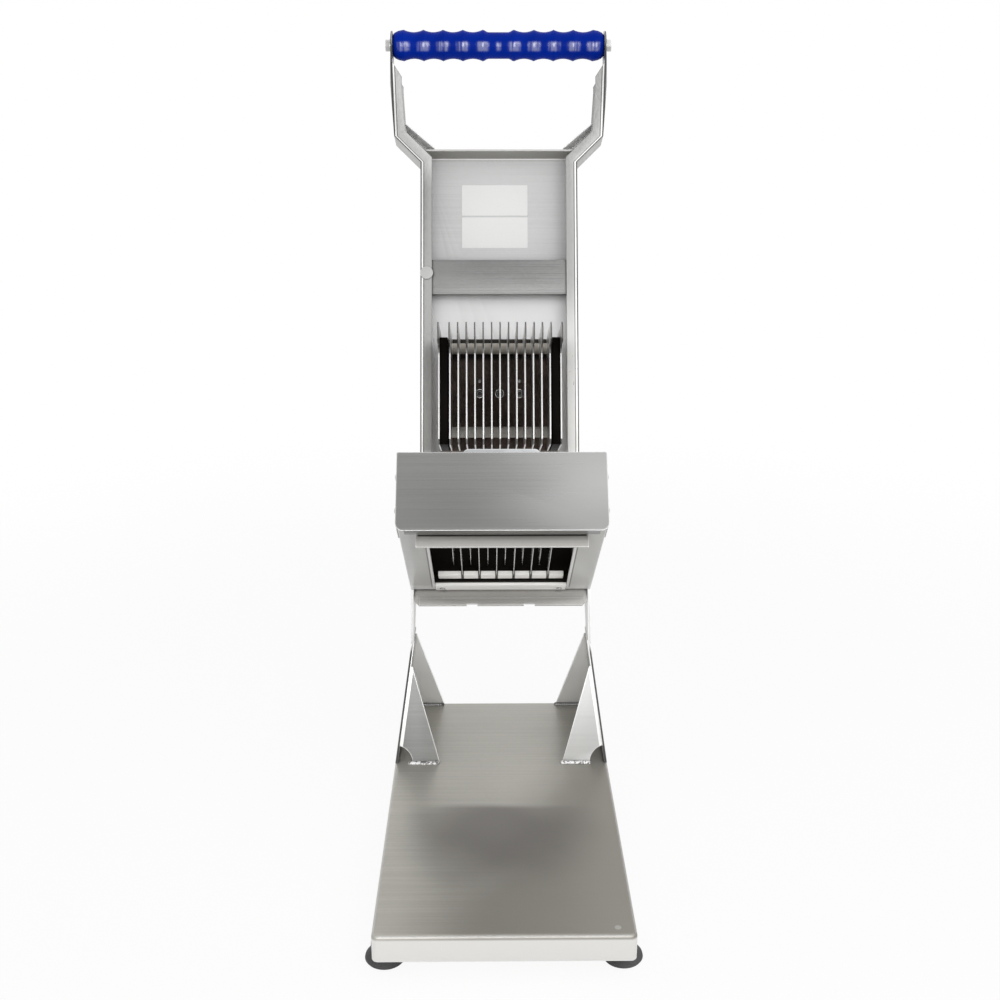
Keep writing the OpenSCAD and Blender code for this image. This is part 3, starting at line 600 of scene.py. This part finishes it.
def makeGripBlue():
    look = gripLook
    material, wire, finish = startMaterial("grip_blue")
    place = objectPlace(wire)
    flow = noise(wire, place, look["flow"])
    pores = noise(wire, place, look["pores"], 2.0)
    scuffs = noise(wire, place, look["scuffs"], look["scuffDetail"], look["scuffRough"])
    scuffs = ramp(wire, scuffs, *look["scuffRange"])
    stretched = wire.node("ShaderNodeMapping", {}, {"Vector": place, "Scale": look["stripes"]})
    stripes = ramp(wire, noise(wire, stretched, 1.0, 1.0), *look["stripeRange"])
    fromRidge = wire.maths("PINGPONG", fromMiddle(wire, place) - look["first"], look["step"] / 2)
    height = axisOf(wire, place, "Z") - look["axis"]
    shineMask = ramp(wire, fromRidge, *look["ridge"]) * band(wire, height, *look["zone"], look["soft"])
    striped, plain = look["stripeShares"]
    ofPores, ofFlow = look["bumpShares"]
    feed(finish, wire, {
        "Base Color": mixColour(wire, flow, look["dark"], look["light"]),
        "Roughness": look["rough"] + scuffs * look["scuffAmount"],
        "Specular IOR Level": look["gloss"],
        "Coat Weight": shineMask * (stripes * striped + plain) * look["shine"],
        "Coat IOR": look["coatIor"],
        "Coat Roughness": look["coatRough"],
        "Normal": bump(wire, pores * ofPores + flow * ofFlow, look["bump"], look["height"]),
    })
    return material


paperLook = {
    "dark": (0.80, 0.80, 0.79), "light": (0.90, 0.90, 0.89), "rough": 0.42, "roughSpread": 0.1,
    "fibres": 800.0, "detail": 4.0, "fibreRough": 0.6, "bump": 0.05, "height": 0.0002,
}


def makePaper():
    look = paperLook
    material, wire, finish = startMaterial("sticker_white")
    fibres = noise(wire, objectPlace(wire), look["fibres"], look["detail"], look["fibreRough"])
    feed(finish, wire, {
        "Base Color": mixColour(wire, fibres, look["dark"], look["light"]),
        "Roughness": look["rough"] + fibres * look["roughSpread"],
        "Normal": bump(wire, fibres, look["bump"], look["height"]),
    })
    return material


steelChange = {
    "base": paintedLightBase, "legs": paintedLightLegs, "cover": paintedLightCover, "lever": paintedLightLever, "panel": paintedLightPanel,
    "spacers": shadedTopSpacers,
}
steelMark = {
    "rearBar": paintedShadeBar, "ledge": slitLedge, "lever": linedLever, "fins": darkLobes, "legs": linedLegs,
    "weld": speckWeld,
}
plasticChange = {"slotted": markSlots, "block": darkBlock}
steel = {
    name: steelFinish(name, look, steelChange.get(name), steelMark.get(name)) for name, look in steelLook.items()
}
plastic = {name: makePlastic(name, plasticChange.get(name)) for name in plasticLook}
gripBlue = makeGripBlue()
stickerWhite = makePaper()

finishOf = {
    "base_plate": steel["base"], "rubber_feet": plastic["rubber"], "foot_screws": steel["bolts"],
    "side_frame_left": steel["legs"], "side_frame_right": steel["legs"], "front_cover": steel["cover"],
    "cover_screws": steel["bolts"], "front_cross_bar": steel["ledge"], "rear_cross_bar": steel["rearBar"],
    "window_strip": steel["strip"], "strip_screws": steel["bolts"], "stop_rod": steel["bolts"],
    "pivot_shaft": steel["bolts"], "pivot_nuts": steel["bolts"], "cartridge_rails": plastic["black"],
    "cartridge_front_bar": plastic["white"], "cartridge_back_bar": plastic["slotted"],
    "cartridge_back_block": plastic["black"], "cartridge_pull_tab": steel["blades"],
    "lower_blades": steel["blades"], "upper_blades": steel["blades"], "cartridge_screws": steel["bolts"],
    "lever_arm_left": steel["lever"], "lever_arm_right": steel["lever"], "lever_panel": steel["panel"],
    "lever_cross_bar": steel["crossBar"], "pivot_bushes": plastic["white"], "pusher_block": plastic["block"],
    "pusher_end_bars": plastic["black"], "pusher_end_plates": steel["fins"], "pusher_fins": steel["fins"],
    "pusher_tie_rods": steel["bolts"], "pusher_spacers": steel["spacers"], "pusher_screws": steel["darkBolts"],
    "grip": gripBlue, "grip_rod": steel["bolts"], "grip_bolts": steel["bolts"], "grip_washers": steel["bolts"],
}


def paint(piece, material):
    piece.data.materials.clear()
    piece.data.materials.append(material)


for nodeName, cadNode in frame["nodes"].items():
    paint(cadNode, finishOf[nodeName])
print("finishes on", len(finishOf), "nodes")


def clearPick():
    bpy.ops.object.select_all(action="DESELECT")


def only(piece):
    clearPick()
    piece.select_set(True)
    bpy.context.view_layer.objects.active = piece


def editAll(piece):
    only(piece)
    bpy.ops.object.mode_set(mode="EDIT")
    bpy.ops.mesh.select_all(action="SELECT")


def pickEdges(piece, test):
    bpy.ops.mesh.select_all(action="DESELECT")
    bpy.ops.mesh.select_mode(type="EDGE")
    bpy.ops.object.mode_set(mode="OBJECT")
    corners = piece.data.vertices
    for edge in piece.data.edges:
        edge.select = test(corners[edge.vertices[0]].co, corners[edge.vertices[1]].co)
    bpy.ops.object.mode_set(mode="EDIT")


weldReach = 0.000002  # corners closer than this are one corner


def mergeAll(reach):
    bpy.ops.mesh.select_all(action="SELECT")
    bpy.ops.mesh.remove_doubles(threshold=reach)
    bpy.ops.mesh.select_all(action="SELECT")


def closeMesh():
    bpy.ops.mesh.select_all(action="SELECT")
    bpy.ops.mesh.normals_make_consistent(inside=False)
    bpy.ops.object.mode_set(mode="OBJECT")


def applyPlace():
    bpy.ops.object.transform_apply(location=True, rotation=True, scale=True)


def applyModifier(piece, kind, **settings):
    only(piece)
    modifier = piece.modifiers.new(kind.title(), kind)
    for key, value in settings.items():
        setattr(modifier, key, value)
    bpy.ops.object.modifier_apply(modifier=modifier.name)


def roundEdges(piece, width, angle):
    limit = math.radians(angle)
    applyModifier(piece, "BEVEL", width=width, segments=2, limit_method="ANGLE", angle_limit=limit)


# a line drawn point by point, left in edit mode
def drawLine(name, points):
    clearPick()
    bpy.ops.mesh.primitive_plane_add(size=0.001)
    piece = bpy.context.active_object
    piece.name = name
    editAll(piece)
    bpy.ops.mesh.select_mode(type="VERT")
    bpy.ops.mesh.merge(type="CENTER")
    bpy.ops.transform.translate(value=points[0])
    for before, after in zip(points, points[1:]):
        bpy.ops.mesh.extrude_vertices_move(TRANSFORM_OT_translate={"value": after - before})
    return piece


flatAngle = math.radians(0.5)  # faces that meet flatter than this are one face


def standIn(nodeName, suffix):
    only(frame["nodes"][nodeName])
    bpy.ops.object.duplicate()
    piece = bpy.context.active_object
    piece.name = nodeName + suffix
    del piece["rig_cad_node"]
    editAll(piece)
    mergeAll(weldReach)
    bpy.ops.mesh.dissolve_limited(angle_limit=flatAngle)
    bpy.ops.object.mode_set(mode="OBJECT")
    return piece


def finishPiece(piece, body, material, angle=32.0):
    only(piece)
    bpy.ops.object.shade_smooth_by_angle(angle=math.radians(angle))
    paint(piece, material)
    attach(piece, body)
    return piece


# folded sheets and moulded blocks get rounded edges where they turn by more than sharpAngle
sharpAngle = 40
edgeRadius = {
    "side_frame_left": 0.0012, "side_frame_right": 0.0012, "front_cover": 0.0009, "front_cross_bar": 0.0006,
    "rear_cross_bar": 0.0005, "window_strip": 0.0006, "cartridge_pull_tab": 0.0006, "lever_arm_left": 0.0006,
    "lever_arm_right": 0.0006, "lever_panel": 0.0005, "lever_cross_bar": 0.0005, "cartridge_rails": 0.0008,
    "pusher_block": 0.001, "pusher_end_bars": 0.001, "cartridge_back_bar": 0.0011, "cartridge_front_bar": 0.00025,
    "cartridge_back_block": 0.00025,
}
for nodeName, radius in edgeRadius.items():
    sheet = standIn(nodeName, "_edged")
    roundEdges(sheet, radius, sharpAngle)
    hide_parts(nodeName)
    finishPiece(sheet, bodyOf[nodeName], finishOf[nodeName])
print("edges rounded on", len(edgeRadius), "pieces")

# base plate: its folds are rounded more than its cut edges; rim tells how far from the outside a fold may lie
baseFold = {"radius": 0.0042, "steps": 5, "edge": 0.0006, "sharp": 50, "rim": 0.0065, "level": 0.0001}


def foldedBase():
    low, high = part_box("base_plate")
    base = standIn("base_plate", "_folded")
    editAll(base)

    def outside(point):
        inX = abs(point.x) > high.x - baseFold["rim"]
        return inX or point.y < low.y + baseFold["rim"] or point.y > high.y - baseFold["rim"]

    def onRim(a, b):
        return min(a.z, b.z) > high.z - baseFold["level"] and outside(a) and outside(b)

    pickEdges(base, onRim)
    bpy.ops.mesh.bevel(offset=baseFold["radius"], segments=baseFold["steps"], clamp_overlap=True)
    bpy.ops.object.mode_set(mode="OBJECT")
    roundEdges(base, baseFold["edge"], baseFold["sharp"])
    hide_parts("base_plate")
    return finishPiece(base, "stand", steel["base"])


foldedBase()
print("base plate folded")


# grip: one profile along the rod, drawn point by point and spun round it; worn is what the ridges have lost,
# shoulder the steps between the smooth middle and the first ridge, round makes soft ridges and round hollows
gripSize = {
    "half": 0.1297, "ridge": 0.0185, "worn": 0.0002, "deep": 0.003, "groove": 0.0242, "grooves": 4, "round": 0.85,
    "middle": 0.0195, "slope": 0.007, "shoulder": (0.35, 0.7), "bore": 0.0071, "end": 0.0125, "endSlope": 0.007,
    "endDrop": 0.0014, "endRound": (0.0025, 0.0026), "along": 0.588, "turns": 72, "steps": 10, "seam": 0.000004,
    "smooth": 50.0,
}


def gripProfile():
    size = gripSize
    hollow = size["ridge"] - size["deep"]
    crest = size["ridge"] - size["worn"]
    right = [(0.0, hollow), (size["middle"] - size["slope"], hollow)]
    for step in size["shoulder"]:
        rise = 3 * step ** 2 - 2 * step ** 3
        right.append((size["middle"] - size["slope"] * (1 - step), hollow + size["deep"] * rise))
    for index in range(size["grooves"]):
        for step in range(size["steps"]):
            share = step / size["steps"]
            dip = math.sin(math.pi * share) ** size["round"]
            along = size["middle"] + (index + share) * size["groove"]
            right.append((along, crest - (size["deep"] - size["worn"]) * dip))
    right.append((size["middle"] + size["grooves"] * size["groove"], crest))
    right.append((size["half"] - size["endSlope"], size["ridge"] - size["endDrop"]))
    right.append((size["half"] - size["endRound"][0], size["end"] + size["endRound"][1]))
    right += [(size["half"], size["end"]), (size["half"], size["bore"])]
    left = [(-along, radius) for along, radius in reversed(right[1:])]
    return left + right


def makeGrip():
    points = [Vector((along, 0, radius)) for along, radius in gripProfile()]
    grip = drawLine("grip_sleeve", points + points[:1])
    mergeAll(weldReach)
    bpy.ops.mesh.spin(steps=gripSize["turns"], angle=2 * math.pi, center=(0, 0, 0), axis=(1, 0, 0))
    mergeAll(gripSize["seam"])
    closeMesh()
    grip.data.transform(leverTurn @ Matrix.Translation((0, 0, gripSize["along"])))
    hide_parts("grip")
    return finishPiece(grip, "lever", gripBlue, angle=gripSize["smooth"])


makeGrip()
print("grip spun")


# blank stickers on the lever's back panel; face is the depth of its front behind the pivot line
stickers = {
    "face": 0.0135, "left": -0.0455, "right": 0.0355, "thick": 0.0002, "corner": 0.0012, "steps": 4,
    "rows": [(0.338, 0.3765), (0.3785, 0.417)],
}


def makeSticker(index, rowLow, rowHigh):
    clearPick()
    bpy.ops.mesh.primitive_plane_add(size=1.0, rotation=(math.pi / 2, 0, 0))
    sticker = bpy.context.active_object
    sticker.name = "blank_sticker_%d" % index
    sticker.scale = (stickers["right"] - stickers["left"], rowHigh - rowLow, 1.0)
    applyPlace()
    editAll(sticker)
    bpy.ops.mesh.bevel(offset=stickers["corner"], segments=stickers["steps"], affect="VERTICES")
    bpy.ops.mesh.select_all(action="SELECT")
    bpy.ops.mesh.extrude_region_move(TRANSFORM_OT_translate={"value": (0, -stickers["thick"], 0)})
    closeMesh()
    middle = Vector(((stickers["left"] + stickers["right"]) / 2, stickers["face"], (rowLow + rowHigh) / 2))
    sticker.data.transform(leverTurn @ Matrix.Translation(middle))
    return finishPiece(sticker, "lever", stickerWhite)


for index, (rowLow, rowHigh) in enumerate(stickers["rows"]):
    makeSticker(index, rowLow, rowHigh)
print("stickers on the panel")


# round pad on the left lip and the pins on the pusher block, all turned discs with a rounded front edge
discs = {
    "lever_pad": {"radius": 0.0078, "height": 0.0014, "at": (-0.0875, -0.017, 0.2995), "finish": "pad"},
    "block_pin_left": {"radius": 0.0021, "height": 0.0009, "at": (-0.0238125, -0.015, 0.168), "finish": "darkBolts"},
    "block_pin_right": {"radius": 0.0021, "height": 0.0009, "at": (0.0238125, -0.015, 0.168), "finish": "darkBolts"},
}
discEdge = {"sides": 40, "front": 0.49, "share": 0.4, "steps": 3}  # front and share are parts of the disc's height


def makeDisc(name):
    size = discs[name]
    clearPick()
    shape = {"vertices": discEdge["sides"], "radius": size["radius"], "depth": size["height"]}
    bpy.ops.mesh.primitive_cylinder_add(**shape, rotation=(math.pi / 2, 0, 0))
    disc = bpy.context.active_object
    disc.name = name
    applyPlace()
    editAll(disc)
    pickEdges(disc, lambda a, b: max(a.y, b.y) < -size["height"] * discEdge["front"])
    bpy.ops.mesh.bevel(offset=size["height"] * discEdge["share"], segments=discEdge["steps"])
    bpy.ops.object.mode_set(mode="OBJECT")
    x, y, z = size["at"]
    disc.data.transform(leverTurn @ Matrix.Translation((x, y - size["height"] / 2, z)))
    return finishPiece(disc, "lever", steel[size["finish"]])


for name in discs:
    makeDisc(name)

# bright rings round the three block screws, cut flat where they lie on the block
rings = {
    "radius": 0.0050, "wire": 0.0007, "sides": (48, 12), "flat": 0.8, "face": -0.0150, "along": 0.153,
    "step": 0.0238125, "smooth": 60.0,
}


def makeRing(name, across):
    clearPick()
    shape = {"major_radius": rings["radius"], "minor_radius": rings["wire"]}
    shape["major_segments"], shape["minor_segments"] = rings["sides"]
    bpy.ops.mesh.primitive_torus_add(**shape, rotation=(math.pi / 2, 0, 0))
    ring = bpy.context.active_object
    ring.name = name
    ring.scale = (1, 1, rings["flat"])
    applyPlace()
    editAll(ring)
    bpy.ops.mesh.bisect(plane_co=(0, 0, 0), plane_no=(0, 1, 0), clear_outer=True, use_fill=True)
    bpy.ops.object.mode_set(mode="OBJECT")
    ring.data.transform(leverTurn @ Matrix.Translation((across, rings["face"], rings["along"])))
    return finishPiece(ring, "lever", steel["bolts"], angle=rings["smooth"])


for name, place in (("screw_ring_left", -1), ("screw_ring_middle", 0), ("screw_ring_right", 1)):
    makeRing(name, place * rings["step"])
print("pad, pins and rings set")


# stiffening strips inside the sloping parts of the arms: the rear lip carries on and turns forward, as the panel's
# top does; line is the strip's inner edge across and along the lever, low end to high end
braces = {
    "line": [(0.0785, 0.4545), (0.1138, 0.4848)], "back": 0.0149, "front": -0.0130, "web": 0.0125,
    "thick": 0.0012, "edge": 0.0004,
}


def makeBrace(name, side):
    size = braces
    low, high = [Vector((side * across, 0, along)) for across, along in size["line"]]
    run = high - low
    out = Vector((side * run.z, 0, -side * run.x)).normalized()  # from the handle opening towards the arm
    corners = [(low, size["front"]), (low, size["back"]), (low + out * size["web"], size["back"])]
    brace = drawLine(name, [Vector((place.x, depth, place.z)) for place, depth in corners])
    bpy.ops.mesh.select_all(action="SELECT")
    bpy.ops.mesh.extrude_region_move(TRANSFORM_OT_translate={"value": run})
    closeMesh()
    applyModifier(brace, "SOLIDIFY", thickness=size["thick"], offset=0.0)
    roundEdges(brace, size["edge"], sharpAngle)
    brace.data.transform(leverTurn)
    # the braces take the near-white strip finish as painted light
    return finishPiece(brace, "lever", steel["strip"])


makeBrace("arm_brace_left", -1)
makeBrace("arm_brace_right", 1)

# bright rounded bead where the panel folds forward at its top, a painted highlight on the bend
foldBead = {"half": 0.0915, "radius": 0.0011, "depth": 0.0130, "along": 0.4492, "sides": 20, "share": 0.5, "steps": 3}


def makeFoldBead():
    clearPick()
    shape = {"vertices": foldBead["sides"], "radius": foldBead["radius"], "depth": 2 * foldBead["half"]}
    bpy.ops.mesh.primitive_cylinder_add(**shape, rotation=(0, math.pi / 2, 0))
    bead = bpy.context.active_object
    bead.name = "panel_fold_bead"
    applyPlace()
    editAll(bead)
    pickEdges(bead, lambda a, b: abs(a.x - b.x) < foldBead["radius"])  # the two end circles
    bpy.ops.mesh.bevel(offset=foldBead["radius"] * foldBead["share"], segments=foldBead["steps"])
    bpy.ops.object.mode_set(mode="OBJECT")
    bead.data.transform(leverTurn @ Matrix.Translation((0, foldBead["depth"], foldBead["along"])))
    return finishPiece(bead, "lever", steel["strip"])


makeFoldBead()
print("braces and fold bead set")


# weld beads along the feet of the leg flanges: small overlapping drops in a row, cut flat at the base plate;
# the rear flanges are wider by the extra
welds = {
    "drop": 0.0034, "sides": (12, 8), "squash": (0.85, 0.9, 0.75), "step": 0.0027, "inner": 0.0695, "outer": 0.1025,
    "extra": 0.012, "front": -0.0502, "back": 0.0922, "floor": 0.045, "smooth": 60.0,
}


def makeWeld(name, left, right, depth, finish):
    clearPick()
    shape = {"radius": welds["drop"], "location": (left, depth, welds["floor"])}
    shape["segments"], shape["ring_count"] = welds["sides"]
    bpy.ops.mesh.primitive_uv_sphere_add(**shape)
    bead = bpy.context.active_object
    bead.name = name
    bead.scale = welds["squash"]
    applyPlace()
    editAll(bead)
    bpy.ops.mesh.bisect(plane_co=(0, 0, welds["floor"]), plane_no=(0, 0, 1), clear_inner=True, use_fill=True)
    bpy.ops.object.mode_set(mode="OBJECT")
    row = {"use_relative_offset": False, "use_constant_offset": True}
    row["constant_offset_displace"] = (welds["step"], 0, 0)
    applyModifier(bead, "ARRAY", count=int((right - left) / welds["step"]), **row)
    return finishPiece(bead, "stand", steel[finish], angle=welds["smooth"])


makeWeld("weld_front_left", -welds["outer"], -welds["inner"], welds["front"], "weld")
makeWeld("weld_front_right", welds["inner"], welds["outer"], welds["front"], "weld")
makeWeld("weld_back_left", -welds["outer"] - welds["extra"], -welds["inner"], welds["back"], "darkBolts")
makeWeld("weld_back_right", welds["inner"], welds["outer"] + welds["extra"], welds["back"], "darkBolts")
print("weld beads laid")


# pale floor that fades into the white surround; own is how much of its white it gives by itself to camera and gloss
floorLook = {
    "size": 6.0, "drop": 0.0004, "fade": (0.55, 1.7), "own": 0.9, "tone": (0.95, 0.95, 0.95, 1.0), "rough": 0.9,
    "gloss": 0.1,
}
pureWhite = (1, 1, 1, 1)


def makeFloor():
    clearPick()
    bpy.ops.mesh.primitive_plane_add(size=floorLook["size"], location=(0, 0, -floorLook["drop"]))
    floor = bpy.context.active_object
    floor.name = "floor"
    material, wire, finish = startMaterial("floor_white")
    feed(finish, wire, {
        "Base Color": floorLook["tone"], "Roughness": floorLook["rough"], "Specular IOR Level": floorLook["gloss"],
    })
    distance = wire.node("ShaderNodeVectorMath", {"operation": "LENGTH"}, {0: objectPlace(wire)}, out="Value")
    path = wire.tree.nodes.new("ShaderNodeLightPath")
    camera, glossy = [Wire(wire.tree, path.outputs[name]) for name in ("Is Camera Ray", "Is Glossy Ray")]
    own = wire.maths("MAXIMUM", camera, glossy) * floorLook["own"]
    glow = wire.node("ShaderNodeEmission", {}, {"Color": pureWhite, "Strength": 1.0})
    lit = wire.node("ShaderNodeMixShader", {}, {0: own, 1: Wire(wire.tree, finish.outputs[0]), 2: glow})
    clear = wire.node("ShaderNodeBsdfTransparent")
    faded = wire.node("ShaderNodeMixShader", {}, {0: ramp(wire, distance, *floorLook["fade"]), 1: lit, 2: clear})
    output = next(n for n in wire.tree.nodes if n.type == "OUTPUT_MATERIAL")
    wire.tree.links.new(faded.socket, output.inputs["Surface"])
    paint(floor, material)


surround = {"soft": 0.52, "seen": 1.0}  # strength as a light, and as camera, gloss and glass see it


def makeWorld():
    world = bpy.data.worlds.new("studio")
    bpy.context.scene.world = world
    world.use_nodes = True
    tree = world.node_tree
    tree.nodes.clear()
    wire = Wire(tree)
    path = tree.nodes.new("ShaderNodeLightPath")
    rays = ("Is Camera Ray", "Is Glossy Ray", "Is Transmission Ray")
    camera, glossy, through = [Wire(tree, path.outputs[name]) for name in rays]
    seen = wire.maths("MAXIMUM", camera, wire.maths("MAXIMUM", glossy, through))
    soft = wire.node("ShaderNodeBackground", {}, {"Color": pureWhite, "Strength": surround["soft"]})
    bright = wire.node("ShaderNodeBackground", {}, {"Color": pureWhite, "Strength": surround["seen"]})
    mixed = wire.node("ShaderNodeMixShader", {}, {0: seen, 1: soft, 2: bright})
    output = tree.nodes.new("ShaderNodeOutputWorld")
    tree.links.new(mixed.socket, output.inputs["Surface"])


lamps = {
    "key": {"at": (1.45, -1.5, 2.2), "aim": (0, 0, 0.4), "size": (2.2, 2.4), "power": 13},
    "fill": {"at": (-2.0, -1.2, 1.5), "aim": (0, 0, 0.4), "size": (2.4, 2.4), "power": 5},
    "top": {"at": (0.2, 0.6, 2.8), "aim": (0, 0, 0.3), "size": (2.4, 2.4), "power": 7},
    "front": {"at": (0.15, -2.2, 1.0), "aim": (0, 0.2, 0.6), "size": (2.2, 1.3), "power": 20},
}


def makeLamps():
    for name, lamp in lamps.items():
        bpy.ops.object.light_add(type="AREA", location=lamp["at"])
        light = bpy.context.active_object
        light.name = "lamp_" + name
        light.data.shape = "RECTANGLE"
        light.data.size, light.data.size_y = lamp["size"]
        light.data.energy = lamp["power"]
        aim = Vector(lamp["aim"]) - Vector(lamp["at"])
        light.rotation_euler = aim.to_track_quat("-Z", "Y").to_euler()


# focal is the focal length in pixels of a frame this many pixels wide
shot = {
    "at": (-0.0121, -1.28146, 0.755), "pitch": 17.9, "yaw": 0.5, "focal": 1230.0, "frame": 1000.0, "sensor": 36.0,
    "near": 0.05,
}


def makeCamera():
    bpy.ops.object.camera_add(location=shot["at"])
    camera = bpy.context.active_object
    camera.rotation_euler = (math.radians(90 - shot["pitch"]), 0, math.radians(-shot["yaw"]))
    camera.data.sensor_width = shot["sensor"]
    camera.data.lens = shot["focal"] / shot["frame"] * shot["sensor"]
    camera.data.clip_start = shot["near"]
    bpy.context.scene.camera = camera


makeFloor()
makeWorld()
makeLamps()
makeCamera()
bpy.context.scene.view_settings.view_transform = "Standard"
print("studio ready")
